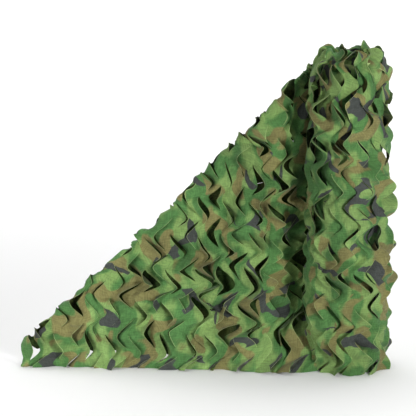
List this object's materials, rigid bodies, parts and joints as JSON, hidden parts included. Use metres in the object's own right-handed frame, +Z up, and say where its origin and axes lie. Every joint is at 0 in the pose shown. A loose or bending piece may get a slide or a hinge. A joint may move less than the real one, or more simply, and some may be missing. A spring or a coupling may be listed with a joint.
{
  "type": "rolled camouflage net with its loose end pulled out",
  "caption": "Camouflage net of slit woven cloth, standing on the end of its roll, with its loose end drawn out to the floor.",
  "frame": {"origin": "middle of the roll's flat end, on the floor", "axes": "+Z up along the roll, +X away from the loose end, -Y the front"},
  "size_m": [1.7887, 0.4899, 1.5283],
  "materials": {
    "camouflage_cloth": "matt woven polyester with a four-colour woodland print"
  },
  "bodies": {
    "root": {"camouflage_net": "camouflage_cloth"}
  },
  "joints": []
}
